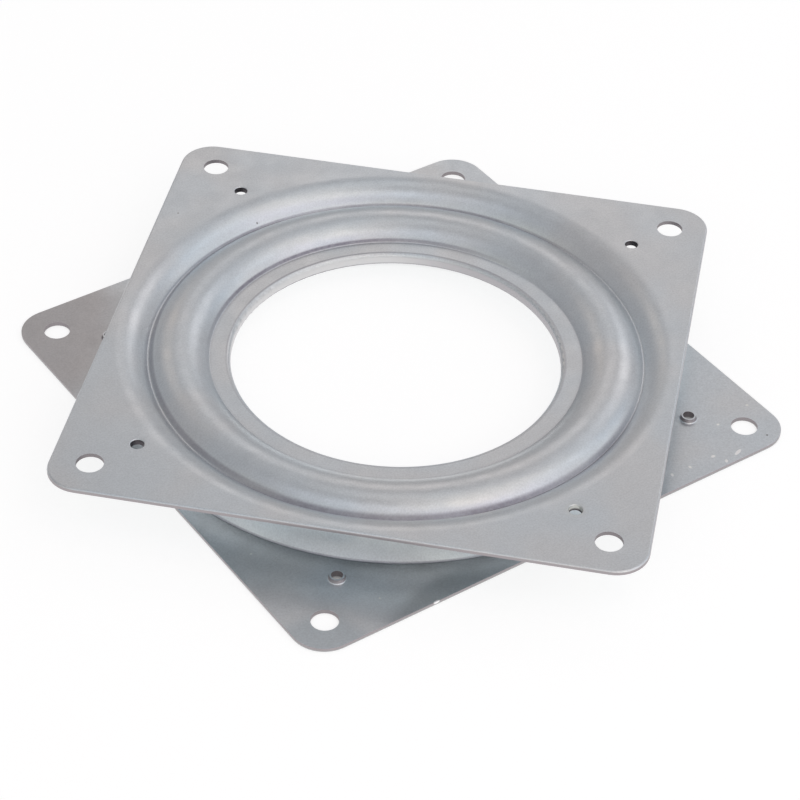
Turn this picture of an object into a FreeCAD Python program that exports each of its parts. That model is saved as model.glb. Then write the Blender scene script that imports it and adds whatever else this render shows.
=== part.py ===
import FreeCAD, Part
import math
import os

# A lazy susan bearing: two square pressed steel plates, face to face, that turn on each other on
# a full ring of loose steel balls. Lengths are in mm and angles in degrees. The origin is at the
# centre of the base plate's underside, and Z is the turning axis.

# Plate blank
plate_side = 101.6
corner_radius = 6.0
sheet = 0.75
edge_rounding = 0.4
top_plate_turn = 44.5

# Screw holes, and the small pilot holes that are pierced from the outer side. Each one ends in a
# collar on the inner side: a short one on the top plate, a tapered one on the base plate.
screw_hole_diameter = 4.76
base_screw_hole_inset = 6.35
top_screw_hole_inset = 6.95
pilot_hole_diameter = 2.3
pilot_hole_past_side = 2.1
pilot_collar_wall = 0.3
pilot_rounding = 0.25
top_pilot_tip_diameter = 2.2
top_pilot_collar_height = 0.35
base_pilot_tip_diameter = 2.0
base_pilot_collar_height = 0.75

# Balls
ball_diameter = 6.35
least_ball_gap = 0.05
running_clearance = 0.1

# Dish: the flat falls away to a valley, and the ball race rises from it as a round bead. The top
# plate's dish is one long soft bend, the base plate's starts at a tight crease. Bends are given at
# the middle of the sheet.
valley_side_margin = 6.6
top_dish_slope = 50.0
top_dish_bend = 6.6
base_crease_margin = 2.7
base_dish_bend = 0.6
seam_margin = 0.1
valley_gap = 2.0
valley_bend = 0.62
bead_outer_slope = 45.0
bead_outer_run = 0.84
bead_inner_run = 0.57
crown_drop = 0.8

# Inner flanges: the top plate's is folded over into a flat-sided hem that holds the base plate's
foot_bend = 0.6
flange_width = 2.72
hem_bend = 0.45
hem_to_foot = 0.5

# Heights above the middle plane, at the middle of the sheet
half_sheet = sheet / 2
crown_level = ball_diameter / 2 + running_clearance + half_sheet
flat_level = crown_level + crown_drop
half_height = flat_level + half_sheet
flange_level = sheet + running_clearance


def sin_of(angle):
    return math.sin(math.radians(angle))


def cos_of(angle):
    return math.cos(math.radians(angle))


def tan_of(angle):
    return math.tan(math.radians(angle))


# Corners of the section, from the plate's edge inwards
valley_level = valley_gap / 2 + half_sheet - valley_bend * (1 / cos_of(bead_outer_slope) - 1)
valley_depth = flat_level - valley_level
valley_radius = plate_side / 2 - valley_side_margin
top_lip_radius = valley_radius + valley_depth / tan_of(top_dish_slope)
top_dish_radius = top_lip_radius + top_dish_bend * tan_of(top_dish_slope / 2)
base_lip_radius = plate_side / 2 - base_crease_margin
base_dish_slope = math.degrees(math.atan2(valley_depth, base_lip_radius - valley_radius))
base_dish_radius = base_lip_radius + base_dish_bend * tan_of(base_dish_slope / 2)

# The bead is an arc with a straight run at each side. The outer run ends in the valley's corner,
# and the inner one's slope brings it down to the top plate's flange.
outer_arc_drop = crown_level - valley_level - bead_outer_run * sin_of(bead_outer_slope)
bead_bend = outer_arc_drop / (1 - cos_of(bead_outer_slope))
inner_swing = math.acos(
    (bead_bend - crown_level + flange_level) / math.hypot(bead_bend, bead_inner_run)
)
bead_inner_slope = math.degrees(inner_swing - math.atan2(bead_inner_run, bead_bend))


def bead_reach(slope, level):
    """How far from the middle of the race the bead's side comes down to the level."""
    arc_drop = bead_bend * (1 - cos_of(slope))
    return bead_bend * sin_of(slope) + (crown_level - arc_drop - level) / tan_of(slope)


race_radius = valley_radius - bead_reach(bead_outer_slope, valley_level)
top_foot_radius = race_radius - bead_reach(bead_inner_slope, flange_level)
base_foot_radius = race_radius - bead_reach(bead_inner_slope, 0)
roll_radius = top_foot_radius - flange_width
hem_end_radius = base_foot_radius - hem_to_foot


def unit(start, end):
    """Direction from start to end."""
    length = math.hypot(end[0] - start[0], end[1] - start[1])
    return (end[0] - start[0]) / length, (end[1] - start[1]) / length


def to_the_left(direction):
    return -direction[1], direction[0]


def shifted_path(path, shift):
    """The path moved to its left by shift: walls stay parallel and each bend keeps its centre."""
    points = []
    for index, (x, z, bend) in enumerate(path):
        before = unit(path[index - 1], path[index]) if index else unit(path[0], path[1])
        after = unit(path[index], path[index + 1]) if index + 1 < len(path) else before
        left_before = to_the_left(before)
        left_after = to_the_left(after)
        share = shift / (1 + left_before[0] * left_after[0] + left_before[1] * left_after[1])
        turn = before[0] * after[1] - before[1] * after[0]
        moved_bend = max(bend - math.copysign(1, turn) * shift, 0.0) if bend else 0.0
        moved_x = x + share * (left_before[0] + left_after[0])
        moved_z = z + share * (left_before[1] + left_after[1])
        points.append((moved_x, moved_z, moved_bend))
    return points


def in_section(x, z):
    return FreeCAD.Vector(x, 0, z)


def path_edges(path):
    """Straight runs joined by tangent arcs, in the plane of the section."""
    edges = []
    last = in_section(path[0][0], path[0][1])
    for index in range(1, len(path) - 1):
        x, z, bend = path[index]
        before = unit(path[index - 1], path[index])
        after = unit(path[index], path[index + 1])
        half_turn = math.acos(before[0] * after[0] + before[1] * after[1]) / 2
        reach = bend * math.tan(half_turn)
        arc_start = in_section(x - before[0] * reach, z - before[1] * reach)
        arc_end = in_section(x + after[0] * reach, z + after[1] * reach)
        if last.distanceToPoint(arc_start) > 1e-6:
            edges.append(Part.LineSegment(last, arc_start).toShape())
        if bend > 0:
            inwards = unit(before, after)
            depth = bend * (1 / math.cos(half_turn) - 1)
            arc_middle = in_section(x + inwards[0] * depth, z + inwards[1] * depth)
            edges.append(Part.Arc(arc_start, arc_middle, arc_end).toShape())
        last = arc_end
    edges.append(Part.LineSegment(last, in_section(path[-1][0], path[-1][1])).toShape())
    return edges


def turned_sheet(path):
    """Sheet of even thickness that follows the path, turned once round the Z axis."""
    outer_side = shifted_path(path, -half_sheet)
    inner_side = shifted_path(path, half_sheet)
    edges = path_edges(outer_side) + path_edges(inner_side)
    for end in (0, -1):
        outer_corner = in_section(outer_side[end][0], outer_side[end][1])
        inner_corner = in_section(inner_side[end][0], inner_side[end][1])
        edges.append(Part.LineSegment(outer_corner, inner_corner).toShape())
    section = Part.Face(Part.Wire(Part.__sortEdges__(edges)))
    return section.revolve(FreeCAD.Vector(0, 0, 0), FreeCAD.Vector(0, 0, 1), 360)


def race_path():
    """The part of the section that both plates share, from the valley to the race."""
    bead_half_turn = (bead_outer_slope + bead_inner_slope) / 2
    bead_lean = (bead_inner_slope - bead_outer_slope) / 2
    corner_height = bead_bend / cos_of(bead_half_turn)
    bead_corner_radius = race_radius - corner_height * sin_of(bead_lean)
    bead_corner_level = crown_level - bead_bend + corner_height * cos_of(bead_lean)
    return [
        (valley_radius, valley_level, valley_bend),
        (bead_corner_radius, bead_corner_level, bead_bend),
    ]


def top_plate_path():
    return [
        (top_dish_radius + seam_margin, flat_level, 0),
        (top_lip_radius, flat_level, top_dish_bend),
    ] + race_path() + [
        (top_foot_radius, flange_level, foot_bend),
        (roll_radius - flange_level, flange_level, hem_bend),
        (roll_radius - flange_level, -flange_level, hem_bend),
        (hem_end_radius, -flange_level, 0),
    ]


def base_plate_path():
    return [
        (base_dish_radius + seam_margin, flat_level, 0),
        (base_lip_radius, flat_level, base_dish_bend),
    ] + race_path() + [
        (base_foot_radius, 0, foot_bend),
        (roll_radius, 0, 0),
    ]


def four_corners(reach):
    """Four places on the plate's diagonals, each that far from both of its middle lines."""
    return [FreeCAD.Vector(x, y, 0) for x in (-reach, reach) for y in (-reach, reach)]


def pilot_hole_places():
    return four_corners((plate_side / 2 + pilot_hole_past_side) * sin_of(45))


def square_blank(seam_radius):
    """Flat of the plate, its outer face up and rounded off by the shear, with room for the dish."""
    corner = FreeCAD.Vector(-plate_side / 2, -plate_side / 2, flat_level - half_sheet)
    blank = Part.makeBox(plate_side, plate_side, sheet, corner)
    upright = [edge for edge in blank.Edges if abs(edge.tangentAt(edge.FirstParameter).z) > 0.5]
    blank = blank.makeFillet(corner_radius, upright)
    outer_rim = [edge for edge in blank.Edges if edge.BoundBox.ZMin > flat_level]
    blank = blank.makeFillet(edge_rounding, outer_rim)
    return blank.cut(punch(seam_radius, FreeCAD.Vector(0, 0, 0)))


def punch(radius, place):
    """A round punch through the flat."""
    return Part.makeCylinder(radius, 2 * sheet, place + FreeCAD.Vector(0, 0, flat_level - sheet))


def pilot_root_radius():
    return pilot_hole_diameter / 2 + pilot_collar_wall + pilot_rounding


def pilot_collar(tip_diameter, height):
    """A pilot hole with the rounded mouth and the collar that the punch draws, on its own axis."""
    bore = pilot_hole_diameter / 2
    outside = bore + pilot_collar_wall
    tip_bore = tip_diameter / 2
    tip_outside = tip_bore + pilot_collar_wall
    root = pilot_root_radius()
    outer_face = half_height
    inner_face = half_height - sheet
    tip = inner_face - height
    eased = pilot_rounding * (1 - cos_of(45))
    outline = [
        Part.LineSegment(in_section(root, outer_face), in_section(bore + pilot_rounding, outer_face)),
        Part.Arc(
            in_section(bore + pilot_rounding, outer_face),
            in_section(bore + eased, outer_face - eased),
            in_section(bore, outer_face - pilot_rounding),
        ),
        Part.LineSegment(in_section(bore, outer_face - pilot_rounding), in_section(tip_bore, tip)),
        Part.LineSegment(in_section(tip_bore, tip), in_section(tip_outside, tip)),
        Part.LineSegment(
            in_section(tip_outside, tip), in_section(outside, inner_face - pilot_rounding)
        ),
        Part.Arc(
            in_section(outside, inner_face - pilot_rounding),
            in_section(outside + eased, inner_face - eased),
            in_section(root, inner_face),
        ),
        Part.LineSegment(in_section(root, inner_face), in_section(root, outer_face)),
    ]
    section = Part.Face(Part.Wire([piece.toShape() for piece in outline]))
    return section.revolve(FreeCAD.Vector(0, 0, 0), FreeCAD.Vector(0, 0, 1), 360)


def pressed_plate(path, screw_hole_inset, collar):
    """One plate, its outer face up and the middle plane at Z = 0."""
    screw_hole_places = four_corners(plate_side / 2 - screw_hole_inset)
    punches = [punch(screw_hole_diameter / 2, place) for place in screw_hole_places]
    punches += [punch(pilot_root_radius(), place) for place in pilot_hole_places()]
    collars = [collar.translated(place) for place in pilot_hole_places()]
    blank = square_blank(path[0][0])
    return blank.fuse(turned_sheet(path)).cut(punches).fuse(collars).removeSplitter()


def top_plate():
    collar = pilot_collar(top_pilot_tip_diameter, top_pilot_collar_height)
    plate = pressed_plate(top_plate_path(), top_screw_hole_inset, collar)
    plate.rotate(FreeCAD.Vector(0, 0, 0), FreeCAD.Vector(0, 0, 1), top_plate_turn)
    return plate.translated(FreeCAD.Vector(0, 0, half_height))


def base_plate():
    collar = pilot_collar(base_pilot_tip_diameter, base_pilot_collar_height)
    plate = pressed_plate(base_plate_path(), base_screw_hole_inset, collar)
    plate.rotate(FreeCAD.Vector(0, 0, 0), FreeCAD.Vector(1, 0, 0), 180)
    return plate.translated(FreeCAD.Vector(0, 0, half_height))


def ball_count():
    """As many balls as the race holds side by side."""
    half_step = math.asin((ball_diameter + least_ball_gap) / 2 / race_radius)
    return int(math.pi / half_step)


def ball(number, count):
    angle = 360 * number / count
    place = FreeCAD.Vector(race_radius * cos_of(angle), race_radius * sin_of(angle), half_height)
    return Part.makeSphere(ball_diameter / 2, place)


def all_pieces():
    pieces = {"base_plate": base_plate(), "top_plate": top_plate()}
    count = ball_count()
    for number in range(count):
        pieces["ball_%02d" % (number + 1)] = ball(number, count)
    return pieces


os.makedirs("parts", exist_ok=True)
for name, shape in all_pieces().items():
    shape.exportStep("parts/%s.step" % name)

print("height %.3f, race radius %.3f, balls %d" % (2 * half_height, race_radius, ball_count()))
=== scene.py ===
import math

import bpy
from mathutils import Matrix, Vector

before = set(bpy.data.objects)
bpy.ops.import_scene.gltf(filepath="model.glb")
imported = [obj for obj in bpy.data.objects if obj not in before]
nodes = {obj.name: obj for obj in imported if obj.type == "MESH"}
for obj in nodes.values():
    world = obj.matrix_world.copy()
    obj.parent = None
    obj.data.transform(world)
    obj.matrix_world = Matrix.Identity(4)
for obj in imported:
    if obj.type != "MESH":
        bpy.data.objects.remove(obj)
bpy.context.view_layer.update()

mm = 0.001  # in metres, which everything here is in unless a note says otherwise
slideDirection = Vector((1, 0.7, 0.3))  # along which noise is shifted

print("frame loaded:", len(nodes), "solids")

# view of the bearing, from above one corner of the base plate: angles in degrees, lens and sensor in mm
viewPoint = {
    "aim": (0.0008, -0.0006, -0.0045),
    "azimuth": -35.97,
    "elevation": 40.28,
    "roll": 2.12,
    "distance": 0.4819,
    "lens": 119.7,
    "sensor": 36,
    "nearest": 0.02,
    "farthest": 20,
}


def outward(azimuth, elevation):
    # unit vector away from the turning axis, towards the front at azimuth 0
    turn = math.radians(azimuth)
    lift = math.radians(elevation)
    return Vector((math.sin(turn) * math.cos(lift), -math.cos(turn) * math.cos(lift), math.sin(lift)))


def facingInward(place, out):
    # stands at a place and looks back along the vector that leads outward
    return Matrix.Translation(place) @ out.to_track_quat("Z", "Y").to_matrix().to_4x4()


def makeCamera(view):
    camera = bpy.data.objects.new("camera", bpy.data.cameras.new("camera"))
    bpy.context.collection.objects.link(camera)
    back = outward(view["azimuth"], view["elevation"])
    upright = facingInward(Vector(view["aim"]) + back * view["distance"], back)
    camera.matrix_world = upright @ Matrix.Rotation(math.radians(view["roll"]), 4, "Z")
    camera.data.lens = view["lens"]
    camera.data.sensor_width = view["sensor"]
    camera.data.clip_start = view["nearest"]
    camera.data.clip_end = view["farthest"]
    bpy.context.scene.camera = camera


def addNode(tree, kind, **settings):
    node = tree.nodes.new(kind)
    for name, value in settings.items():
        setattr(node, name, value)
    return node


def newMaterial(name):
    material = bpy.data.materials.new(name)
    material.use_nodes = True
    return material, material.node_tree, material.node_tree.nodes["Principled BSDF"]


def plug(tree, value, socket):
    # a socket is linked, anything else is written on the input
    if isinstance(value, bpy.types.NodeSocket):
        tree.links.new(value, socket)
    else:
        socket.default_value = value


def math2(tree, operation, first, second=0.0):
    node = addNode(tree, "ShaderNodeMath", operation=operation)
    plug(tree, first, node.inputs[0])
    plug(tree, second, node.inputs[1])
    return node.outputs[0]


def combined(tree, operation, first, *others):
    # works through several values in turn: their product, their sum or their greatest
    total = first
    for value in others:
        total = math2(tree, operation, total, value)
    return total


def vector2(tree, operation, first, second=(0, 0, 0)):
    node = addNode(tree, "ShaderNodeVectorMath", operation=operation)
    plug(tree, first, node.inputs[0])
    plug(tree, second, node.inputs[1])
    return node


def lengthOf(tree, vector):
    return vector2(tree, "LENGTH", vector).outputs["Value"]


def heightOf(tree, vector):
    # upward part of a place or of a normal
    parts = addNode(tree, "ShaderNodeSeparateXYZ")
    plug(tree, vector, parts.inputs[0])
    return parts.outputs["Z"]


def radiusOf(tree, place):
    # distance from the turning axis
    return lengthOf(tree, vector2(tree, "MULTIPLY", place, (1, 1, 0)).outputs[0])


def fade(tree, value, low, high, fromValue=0.0, toValue=1.0):
    # eased ramp from one value to another while the input goes from low to high
    node = addNode(tree, "ShaderNodeMapRange", interpolation_type="SMOOTHSTEP", clamp=True)
    plug(tree, value, node.inputs["Value"])
    plug(tree, low, node.inputs["From Min"])
    plug(tree, high, node.inputs["From Max"])
    plug(tree, fromValue, node.inputs["To Min"])
    plug(tree, toValue, node.inputs["To Max"])
    return node.outputs["Result"]


def noiseAt(tree, place, pattern, shift=0.0):
    # size is the width of one blotch, and the shift slides the pattern along
    shift += pattern.get("offset", 0.0)
    if shift:
        place = vector2(tree, "ADD", place, slideDirection * shift).outputs[0]
    node = addNode(tree, "ShaderNodeTexNoise")
    node.inputs["Scale"].default_value = 1 / pattern["size"]
    node.inputs["Detail"].default_value = pattern["detail"]
    plug(tree, place, node.inputs["Vector"])
    return node.outputs["Fac"]


def aboutZero(tree, noise, spread):
    # noise that swings to both sides of zero
    return math2(tree, "MULTIPLY", math2(tree, "SUBTRACT", noise, 0.5), spread)


def mixColour(tree, amount, first, second):
    # the colours of this node are its inputs 6 and 7 and its output 2
    node = addNode(tree, "ShaderNodeMix", data_type="RGBA")
    plug(tree, amount, node.inputs[0])
    plug(tree, first, node.inputs[6])
    plug(tree, second, node.inputs[7])
    return node.outputs[2]


def bumpAt(tree, height, strength, distance):
    bump = addNode(tree, "ShaderNodeBump")
    bump.inputs["Strength"].default_value = strength
    bump.inputs["Distance"].default_value = distance
    plug(tree, height, bump.inputs["Height"])
    return bump


# how the marks on the plates soften towards their borders
softness = {
    "lineCore": 0.25,  # share of a line's width that keeps its full tone
    "markCore": 0.35,  # the same for the radius of a speck or patch
    "markReach": 0.6,  # mm that a speck or patch reaches up and down
    "sideFade": (0.35, 0.9),  # cosines of the angle off the heavy side: from there it grows, then is full
    "boreFade": (0.0001, 0.0003),  # out from a hole's wall
}


def lineAt(tree, radius, where, width):
    # 1 on a circle round the turning axis, 0 beyond its width
    away = math2(tree, "ABSOLUTE", math2(tree, "SUBTRACT", radius, where))
    return fade(tree, away, width * softness["lineCore"], width, 1.0, 0.0)


def heavyOn(tree, place, radius, heavyAt, elsewhere):
    # 1 on one side of the turning axis, easing to a lower value on the other
    heavySide = outward(viewPoint["azimuth"] + heavyAt, 0)
    along = vector2(tree, "DOT_PRODUCT", place, heavySide).outputs["Value"]
    return fade(tree, math2(tree, "DIVIDE", along, radius), *softness["sideFade"], elsewhere, 1.0)


def markAt(tree, place, mark):
    # a soft oval: centre, length and width in mm, turn in degrees
    half = Vector((mark["length"] / 2, mark["width"] / 2, softness["markReach"]))
    mapping = addNode(tree, "ShaderNodeMapping", vector_type="TEXTURE")
    mapping.inputs["Location"].default_value = Vector(mark["at"]) * mm
    mapping.inputs["Rotation"].default_value = (0, 0, math.radians(mark.get("turn", 0)))
    mapping.inputs["Scale"].default_value = half * mm
    plug(tree, place, mapping.inputs["Vector"])
    return fade(tree, lengthOf(tree, mapping.outputs[0]), softness["markCore"], 1.0, 1.0, 0.0)


# a fade holds the low and high end of its input and, where it needs them, of its result
zincLook = {
    "warm": (0.715, 0.735, 0.748, 1),
    "cool": (0.688, 0.735, 0.768, 1),
    "patch": {"size": 0.016, "detail": 1.5},  # warm and cool patches
    "patchFade": (0.35, 0.65),
    "ragged": {"size": 0.012, "detail": 3.0},  # borders of the patches of tone and painted shade
    "raggedSpread": 0.8,
    "shadeAndTonePatchFade": (0.1, 0.9),
    "spangle": {"size": 0.0017, "detail": 2.0},
    "spangleShade": 0.07,
    "grain": {"size": 0.0003, "detail": 1.0},
    "grainShade": 0.28,
    # painted shade along the creases, heaviest on one side of the turning axis
    "creaseShadeColour": (0.17, 0.15, 0.20, 1),
    "creaseShadeRoughness": 0.7,
    "stretch": {"size": 0.016, "detail": 1.0, "offset": 0.02},  # strong and weak stretches of the painted crease shade
    "stretchFade": (0.35, 0.60, 0.75, 1.0),
    "stretchGrain": {"size": 0.0006, "detail": 2.0, "offset": 0.02},
    "stretchGrainFade": (0.30, 0.70, 0.88, 1.0),
    "facingFade": (0.0, 0.2),  # of the normal's height, which picks the side of the sheet
    # bare steel of the cut edges, made darker as painted shade
    "bareEdgeAndShadeColour": (0.43, 0.395, 0.41, 1),
    "edgeRoughness": 0.5,
    "edgeFade": (0.0488, 0.0490),  # the cut edges and hole walls lie further out
    "uprightFade": (0.25, 0.75, 1.0, 0.0),
    # painted shade on the hole walls
    "boreShadeColour": (0.11, 0.10, 0.11, 1),
    "hemColour": (0.72, 0.715, 0.72, 1),
    # painted shade down the hem's side, heaviest on one side of the axis
    "hemShadedSideColour": (0.52, 0.505, 0.525, 1),
    "hemShadedAt": 120,  # degrees round from the side that the camera sees, where the hem's painted shade is heaviest
    # painted shade round the hem's lower bend
    "hemBendShadeColour": (0.26, 0.245, 0.275, 1),
    "hemRoughness": 0.48,
    "hemFade": (0.0298, 0.0302, 1.0, 0.0),  # the folded hem lies further in
    "hemSideFade": (0.1, 0.7, 1.0, 0.0),
    "hemBendFade": (0.0038, 0.0043, 1.0, 0.0),  # heights at which its lower bend ends
    "markTint": (0.6, 0.61, 0.59),
    "roughness": (0.31, 0.39),
    "smear": {"size": 0.00425, "detail": 3.0, "offset": 0.05},  # duller and brighter places
    "smearFade": (0.3, 0.7),
    "wave": {"size": 0.006, "detail": 1.0},
    "waveStrength": 0.25,
    "waveDepth": 0.00006,
    "grainStrength": 0.35,
    "grainDepth": 0.000012,
}

# What differs between the plates, with angles in degrees. Holes: how far they lie along both sides, and how
# dark the painted shade on their walls is. Creases: painted shade along the creases, with the depth of
# the tone, the side of the sheet and where they are heavy, counted round from the side that the camera
# sees.
# Patches of tone and painted shade on the flat, and marks, which are small dents, specks and rubbed places
# with two painted highlights among them, are in mm, and a tone above about 1.2 is lighter than the plating.
topPlate = {
    "shift": 0.31,
    "holesTurn": 44.5,
    "holes": [
        {"reach": 0.04385, "radius": 0.00238, "shade": 0.42},  # screws
        {"reach": 0.03741, "radius": 0.00115, "shade": 1.0},  # pilots
    ],
    "shadedCreases": [
        {"radius": 0.0443, "width": 0.00036, "depth": 0.62, "facing": 1, "heavyAt": 190, "elsewhere": 0.10},
        {"radius": 0.0439, "width": 0.00085, "depth": 0.70, "facing": 1, "heavyAt": 15, "elsewhere": 0.08},
        {"radius": 0.0436, "width": 0.00060, "depth": 0.52, "facing": 1, "heavyAt": 285, "elsewhere": 0.0},
        {"radius": 0.0336, "width": 0.00038, "depth": 0.80, "facing": 1, "heavyAt": 205, "elsewhere": 0.12},
        {"radius": 0.0334, "width": 0.00075, "depth": 0.30, "facing": 1, "heavyAt": 205, "elsewhere": 0.35},
        {"radius": 0.0303, "width": 0.00026, "depth": 0.40, "facing": 1, "heavyAt": 180, "elsewhere": 0.60},
    ],
    "shadeAndTonePatches": [],
    "marksAndHighlights": [
        {"at": (-13.3, 53.1, 9.65), "length": 0.5, "width": 0.4, "tone": 0.5},
        {"at": (-0.9, 45.0, 7.5), "length": 0.45, "width": 0.45, "tone": 0.35},
        {"at": (-17.8, 30.2, 8.85), "length": 1.3, "width": 0.6, "turn": 70, "tone": 0.45},
        # painted light: the near pilot hole lit up over the painted shade on its walls
        {"at": (-0.5, -52.9, 9.3), "length": 6.0, "width": 6.0, "tone": 1.2},
        {"at": (-30.8, 26.1, 9.5), "length": 2.2, "width": 0.35, "turn": 15, "tone": 0.72},
    ],
}
basePlate = {
    "shift": 0.77,
    "holesTurn": 0,
    "holes": [
        {"reach": 0.04445, "radius": 0.00238, "shade": 0.25},
        {"reach": 0.03741, "radius": 0.00115, "shade": 0.35},
    ],
    "shadedCreases": [
        {"radius": 0.04822, "width": 0.00034, "depth": 0.60, "facing": 1, "heavyAt": 0, "elsewhere": 1.0},
        {"radius": 0.0442, "width": 0.00034, "depth": 0.55, "facing": -1, "heavyAt": 0, "elsewhere": 1.0},
    ],
    "shadeAndTonePatches": [  # darker and browner at the left corner; painted shade and reflection of the top plate above: darker and cooler along the near edge and at the near corner
        {"at": (-50.0, 44.0, 0.75), "length": 62, "width": 46, "turn": 40, "amount": 0.75,
         "colour": (0.50, 0.475, 0.47, 1)},
        {"at": (-20.0, -52.0, 0.75), "length": 50, "width": 16, "turn": 2, "amount": 0.8,
         "colour": (0.47, 0.50, 0.52, 1)},
        {"at": (-50.0, -50.0, 0.75), "length": 26, "width": 24, "amount": 0.6,
         "colour": (0.50, 0.565, 0.605, 1)},
    ],
    "marksAndHighlights": [
        {"at": (39.0, -49.2, 0.75), "length": 2.3, "width": 0.8, "turn": 20, "tone": 2.3},
        {"at": (40.8, -41.6, 0.75), "length": 0.8, "width": 0.65, "tone": 1.7},
        {"at": (34.6, -47.7, 0.75), "length": 1.1, "width": 0.8, "tone": 1.8},
        {"at": (35.8, -49.9, 0.75), "length": 1.1, "width": 0.7, "turn": 60, "tone": 1.8},
        {"at": (29.4, -47.7, 0.75), "length": 1.0, "width": 0.7, "turn": 90, "tone": 1.65},
        {"at": (25.5, -47.6, 0.75), "length": 1.1, "width": 0.7, "turn": 70, "tone": 1.75},
        {"at": (48.6, -40.3, 0.75), "length": 0.8, "width": 0.7, "tone": 1.5},
        {"at": (46.3, -48.5, 0.75), "length": 0.5, "width": 0.5, "tone": 0.35},
        {"at": (-46.2, -24.8, 0.75), "length": 0.7, "width": 0.5, "tone": 1.6},
        {"at": (-34.1, -45.1, 0.75), "length": 0.5, "width": 0.5, "tone": 1.5},
        # painted highlight: a glint on the rounded cut edge
        {"at": (-26.7, -50.8, 0.65), "length": 1.5, "width": 0.7, "tone": 2.2},
    ],
}


def platingColour(tree, place, grain, look, plate):
    # warm and cool patches, then patches of tone and painted shade with ragged borders, then spangle and
    # grain over both
    shift = plate["shift"]
    patch = fade(tree, noiseAt(tree, place, look["patch"], shift), *look["patchFade"])
    colour = mixColour(tree, patch, look["warm"], look["cool"])
    ragged = aboutZero(tree, noiseAt(tree, place, look["ragged"], shift), look["raggedSpread"])
    for spot in plate["shadeAndTonePatches"]:
        soft = math2(tree, "ADD", markAt(tree, place, spot), ragged)
        amount = fade(tree, soft, *look["shadeAndTonePatchFade"], 0.0, spot["amount"])
        colour = mixColour(tree, amount, colour, spot["colour"])
    spangle = aboutZero(tree, noiseAt(tree, place, look["spangle"], shift), look["spangleShade"])
    shade = combined(tree, "ADD", spangle, aboutZero(tree, grain, look["grainShade"]), 1.0)
    shaded = addNode(tree, "ShaderNodeVectorMath", operation="SCALE")
    plug(tree, colour, shaded.inputs[0])
    plug(tree, shade, shaded.inputs["Scale"])
    return shaded.outputs[0]


def paintedCreaseShade(tree, place, radius, up, look, plate):
    # painted shade along the creases: 1 where it is full, with stronger and weaker stretches
    shift = plate["shift"]
    stretch = fade(tree, noiseAt(tree, place, look["stretch"], shift), *look["stretchFade"])
    grain = fade(tree, noiseAt(tree, place, look["stretchGrain"], shift), *look["stretchGrainFade"])
    creaseShade = 0.0
    for crease in plate["shadedCreases"]:
        side = fade(tree, math2(tree, "MULTIPLY", up, crease["facing"]), *look["facingFade"])
        line = lineAt(tree, radius, crease["radius"], crease["width"])
        heavy = heavyOn(tree, place, radius, crease["heavyAt"], crease["elsewhere"])
        line = combined(tree, "MULTIPLY", line, crease["depth"], heavy, side)
        creaseShade = math2(tree, "MAXIMUM", creaseShade, line)
    return combined(tree, "MULTIPLY", creaseShade, stretch, grain)


def paintedHoleShade(tree, place, plate):
    # painted shade on the walls of the four screw holes and the four pilot holes: how dark it is, 0 away
    # from them
    turned = addNode(tree, "ShaderNodeVectorRotate", rotation_type="Z_AXIS")
    plug(tree, place, turned.inputs["Vector"])
    turned.inputs["Angle"].default_value = math.radians(-plate["holesTurn"])
    folded = vector2(tree, "ABSOLUTE", turned.outputs[0]).outputs[0]
    walls = 0.0
    for hole in plate["holes"]:
        away = vector2(tree, "SUBTRACT", folded, (hole["reach"], hole["reach"], 0)).outputs[0]
        start, end = [hole["radius"] + step for step in softness["boreFade"]]
        near = fade(tree, radiusOf(tree, away), start, end, hole["shade"], 0.0)
        walls = math2(tree, "MAXIMUM", walls, near)
    return walls


def hemColourAndShade(tree, place, radius, hemSide, colour, look):
    # the hem's own colour down its side, with painted shade: darker on one side of the axis, darkest round
    # its lower bend
    shadedSide = heavyOn(tree, place, radius, look["hemShadedAt"], 0.0)
    colour = mixColour(tree, hemSide, colour,
                       mixColour(tree, shadedSide, look["hemColour"], look["hemShadedSideColour"]))
    bend = fade(tree, heightOf(tree, place), *look["hemBendFade"])
    return mixColour(tree, math2(tree, "MULTIPLY", hemSide, bend), colour, look["hemBendShadeColour"])


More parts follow.
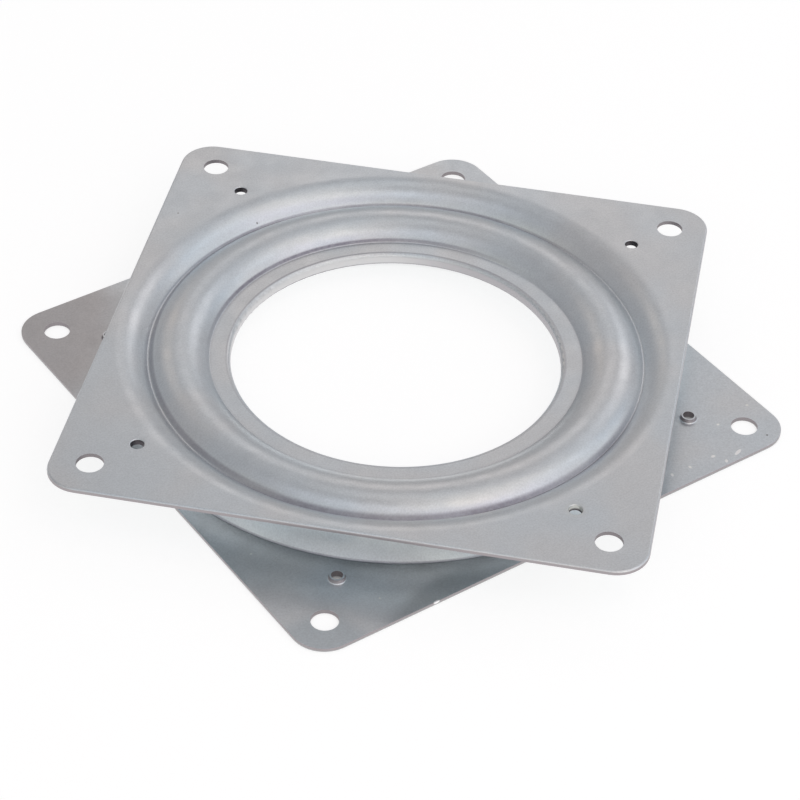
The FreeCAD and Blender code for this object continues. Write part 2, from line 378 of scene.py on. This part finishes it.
def zincPlate(name, look, plate):
    material, tree, shader = newMaterial(name)
    coords = addNode(tree, "ShaderNodeTexCoord")
    place = coords.outputs["Object"]
    up = heightOf(tree, coords.outputs["Normal"])
    radius = radiusOf(tree, place)
    shift = plate["shift"]
    grain = noiseAt(tree, place, look["grain"], shift)
    colour = platingColour(tree, place, grain, look, plate)
    creaseShade = paintedCreaseShade(tree, place, radius, up, look, plate)
    # painted shade along the creases
    colour = mixColour(tree, creaseShade, colour, look["creaseShadeColour"])

    # bare steel on the cut edges, made darker as painted shade, and painted shade on the hole walls
    upright = fade(tree, math2(tree, "ABSOLUTE", up), *look["uprightFade"])
    edge = math2(tree, "MULTIPLY", upright, fade(tree, radius, *look["edgeFade"]))
    colour = mixColour(tree, edge, colour, look["bareEdgeAndShadeColour"])
    # painted shade on the hole walls
    boreShade = math2(tree, "MULTIPLY", edge, paintedHoleShade(tree, place, plate))
    colour = mixColour(tree, boreShade, colour, look["boreShadeColour"])

    hem = fade(tree, radius, *look["hemFade"])
    hemSide = math2(tree, "MULTIPLY", hem, fade(tree, up, *look["hemSideFade"]))
    colour = hemColourAndShade(tree, place, radius, hemSide, colour, look)
    # small marks, with painted highlights among them
    for mark in plate["marksAndHighlights"]:
        tint = [mark["tone"] * part for part in look["markTint"]] + [1]
        colour = mixColour(tree, markAt(tree, place, mark), colour, tint)
    plug(tree, colour, shader.inputs["Base Color"])
    shader.inputs["Metallic"].default_value = 1

    smear = noiseAt(tree, place, look["smear"], shift)
    rough = combined(tree, "MAXIMUM",
                     fade(tree, smear, *look["smearFade"], *look["roughness"]),
                     math2(tree, "MULTIPLY", edge, look["edgeRoughness"]),
                     math2(tree, "MULTIPLY", creaseShade, look["creaseShadeRoughness"]),
                     math2(tree, "MULTIPLY", hem, look["hemRoughness"]))
    plug(tree, rough, shader.inputs["Roughness"])

    # the sheet is slightly wavy, with the grain on top
    swell = noiseAt(tree, place, look["wave"], shift)
    wave = bumpAt(tree, swell, look["waveStrength"], look["waveDepth"])
    fine = bumpAt(tree, grain, look["grainStrength"], look["grainDepth"])
    plug(tree, wave.outputs["Normal"], fine.inputs["Normal"])
    plug(tree, fine.outputs["Normal"], shader.inputs["Normal"])
    return material


ballLook = {
    "colour": (0.74, 0.74, 0.755, 1),
    "roughness": 0.09,
    "grease": {"size": 0.0035, "detail": 3.0},
    "greaseColour": (0.40, 0.36, 0.30, 1),
    "greaseRoughness": 0.38,
    "greaseFade": (0.52, 0.66),
    "greaseMost": 0.55,
    "scuff": {"size": 0.0005, "detail": 2.0},
    "scuffRoughness": 0.05,
    "scuffStrength": 0.1,
    "scuffDepth": 0.000004,
}


def polishedBall(name, look):
    material, tree, shader = newMaterial(name)
    place = addNode(tree, "ShaderNodeTexCoord").outputs["Object"]
    smears = noiseAt(tree, place, look["grease"])
    film = fade(tree, smears, *look["greaseFade"], 0.0, look["greaseMost"])
    plug(tree, mixColour(tree, film, look["colour"], look["greaseColour"]), shader.inputs["Base Color"])
    scuff = noiseAt(tree, place, look["scuff"])
    smooth = fade(tree, film, 0.0, look["greaseMost"], look["roughness"], look["greaseRoughness"])
    rough = math2(tree, "ADD", smooth, math2(tree, "MULTIPLY", scuff, look["scuffRoughness"]))
    plug(tree, rough, shader.inputs["Roughness"])
    shader.inputs["Metallic"].default_value = 1
    bump = bumpAt(tree, scuff, look["scuffStrength"], look["scuffDepth"])
    plug(tree, bump.outputs["Normal"], shader.inputs["Normal"])
    return material


def dress(node, material):
    node.data.materials.clear()
    node.data.materials.append(material)


shading = {
    "weld": 0.000002,
    "crispAngle": 50,  # degrees between two faces that a crease keeps apart
    "faceWeight": 100,
}


def evenShading(node, values):
    # joins the facets of each pressed surface and keeps the cut corners crisp
    weld = node.modifiers.new("weld", "WELD")
    weld.merge_threshold = values["weld"]
    crisp = node.modifiers.new("crisp", "EDGE_SPLIT")
    crisp.split_angle = math.radians(values["crispAngle"])
    even = node.modifiers.new("even", "WEIGHTED_NORMAL")
    even.weight = values["faceWeight"]


plateZinc = {
    "top_plate": zincPlate("topPlateZinc", zincLook, topPlate),
    "base_plate": zincPlate("basePlateZinc", zincLook, basePlate),
}
ballSteel = polishedBall("polishedBallSteel", ballLook)
for name, node in nodes.items():
    dress(node, plateZinc.get(name, ballSteel))
    evenShading(node, shading)
print("plating and balls finished")

studio = {
    "floorSize": 6,
    "floorDrop": 0.00002,  # just clear of the base plate's underside
    "floorColour": (0.30, 0.30, 0.30, 1),
    "floorRoughness": 0.95,
    "floorGlow": 0.79,
    "whiteFor": ("Camera", "Glossy", "Transmission"),
    "walledReach": 0.003,
    "walledSamples": 8,
    "walledFade": (0.15, 0.55, 0.12, 1.0),
    "airColour": (1.0, 0.985, 1.015, 1),
    "airStrength": 0.41,
}


def floorPaper(values):
    material, tree, shader = newMaterial("floorPaper")
    shader.inputs["Base Color"].default_value = values["floorColour"]
    shader.inputs["Roughness"].default_value = values["floorRoughness"]
    shader.inputs["Specular IOR Level"].default_value = 0
    # white where the camera, a reflection or glass sees it, so the paper lights the part only a little
    rays = addNode(tree, "ShaderNodeLightPath").outputs
    seen = combined(tree, "MAXIMUM", *[rays["Is %s Ray" % kind] for kind in values["whiteFor"]])
    # painted shade: the glow is dimmed where the floor is walled in, as at the bottom of the pilot holes
    walled = addNode(tree, "ShaderNodeAmbientOcclusion", samples=values["walledSamples"])
    walled.inputs["Distance"].default_value = values["walledReach"]
    unwalled = fade(tree, walled.outputs["AO"], *values["walledFade"])
    glow = combined(tree, "MULTIPLY", seen, unwalled, values["floorGlow"])
    shader.inputs["Emission Color"].default_value = (1, 1, 1, 1)
    plug(tree, glow, shader.inputs["Emission Strength"])
    # see-through from below, so that it doesn't hide the part's underside
    face = addNode(tree, "ShaderNodeNewGeometry")
    clear = addNode(tree, "ShaderNodeBsdfTransparent")
    either = addNode(tree, "ShaderNodeMixShader")
    plug(tree, face.outputs["Backfacing"], either.inputs[0])
    plug(tree, shader.outputs[0], either.inputs[1])
    plug(tree, clear.outputs[0], either.inputs[2])
    plug(tree, either.outputs[0], tree.nodes["Material Output"].inputs["Surface"])
    return material


def makeFloor(values):
    half = values["floorSize"] / 2
    low = -values["floorDrop"]
    corners = [(-half, -half, low), (half, -half, low), (half, half, low), (-half, half, low)]
    mesh = bpy.data.meshes.new("floor")
    mesh.from_pydata(corners, [], [(0, 1, 2, 3)])
    floor = bpy.data.objects.new("floor", mesh)
    bpy.context.collection.objects.link(floor)
    floor.data.materials.append(floorPaper(values))


def makeWorld(values):
    world = bpy.data.worlds.new("studioAir")
    world.use_nodes = True
    background = world.node_tree.nodes["Background"]
    background.inputs["Color"].default_value = values["airColour"]
    background.inputs["Strength"].default_value = values["airStrength"]
    bpy.context.scene.world = world


# round is in degrees from the camera to the right, fromTop in degrees from overhead, power in watts
softboxes = {
    "aboveFront": {"round": 0, "fromTop": 20, "power": 0.45, "tint": (0.95, 1.0, 1.1)},
    "aboveRight": {"round": 60, "fromTop": 20, "power": 0.65, "tint": (1.15, 1.0, 0.85)},
    "aboveBackRight": {"round": 120, "fromTop": 20, "power": 0.45, "tint": (1.1, 1.0, 0.9)},
    "aboveBack": {"round": 180, "fromTop": 20, "power": 0.28, "tint": (1.0, 1.0, 1.0)},
    "aboveLeft": {"round": 300, "fromTop": 20, "power": 0.25, "tint": (0.95, 1.0, 1.1)},
    "highFrontRight": {"round": 36, "fromTop": 38, "power": 0.3, "tint": (1.0, 0.85, 1.15)},
    "highRight": {"round": 72, "fromTop": 38, "power": 0.6, "tint": (1.0, 0.95, 1.1)},
    "highBackRight": {"round": 108, "fromTop": 38, "power": 0.48, "tint": (0.95, 1.0, 1.05)},
    "highBack": {"round": 144, "fromTop": 38, "power": 0.1, "tint": (0.8, 1.0, 1.2)},
    "highFrontLeft": {"round": 324, "fromTop": 38, "power": 0.2, "tint": (0.9, 1.0, 1.1)},
    "midFront": {"round": 0, "fromTop": 56, "power": 1.0, "tint": (1.15, 1.0, 0.85)},
    "midFrontRight": {"round": 30, "fromTop": 56, "power": 0.55, "tint": (1.15, 1.1, 0.75)},
    "midRight": {"round": 120, "fromTop": 56, "power": 0.14, "tint": (0.6, 1.0, 1.4)},
    "midBackRight": {"round": 150, "fromTop": 56, "power": 0.58, "tint": (1.05, 1.0, 1.0)},
    "midBack": {"round": 180, "fromTop": 56, "power": 0.35, "tint": (1.1, 1.0, 0.95)},
    "midBackLeft": {"round": 210, "fromTop": 56, "power": 0.24, "tint": (1.25, 1.0, 0.8)},
    "midLeft": {"round": 300, "fromTop": 56, "power": 0.16, "tint": (1.25, 1.1, 0.65)},
    "lowFront": {"round": 0, "fromTop": 75, "power": 2.0, "tint": (0.95, 1.0, 1.0)},
    "lowFrontRight": {"round": 45, "fromTop": 75, "power": 4.6, "tint": (1.0, 1.0, 1.0)},
    "lowRight": {"round": 90, "fromTop": 75, "power": 2.8, "tint": (1.0, 1.0, 1.0)},
    "lowBackRight": {"round": 135, "fromTop": 75, "power": 0.38, "tint": (1.05, 1.0, 1.0)},
    "lowBack": {"round": 180, "fromTop": 75, "power": 0.12, "tint": (1.2, 1.05, 0.75)},
    "lowFrontLeft": {"round": 315, "fromTop": 75, "power": 1.6, "tint": (0.95, 1.05, 1.0)},
}
softboxSize = 0.5
softboxDistance = 1.6
lowSoftboxSize = 1.5  # the low ones are broad, so that they don't glare from other sides
lowFromTop = 70


def makeSoftbox(name, box, view):
    lamp = bpy.data.lights.new(name, "AREA")
    lamp.shape = "SQUARE"
    lamp.size = lowSoftboxSize if box["fromTop"] > lowFromTop else softboxSize
    lamp.energy = box["power"]
    lamp.color = box["tint"]
    softbox = bpy.data.objects.new(name, lamp)
    bpy.context.collection.objects.link(softbox)
    out = outward(view["azimuth"] + box["round"], 90 - box["fromTop"])
    softbox.matrix_world = facingInward(out * softboxDistance, out)


makeCamera(viewPoint)
makeFloor(studio)
makeWorld(studio)
for name, box in softboxes.items():
    makeSoftbox(name, box, viewPoint)
bpy.context.scene.view_settings.view_transform = "Standard"
print("studio ready")
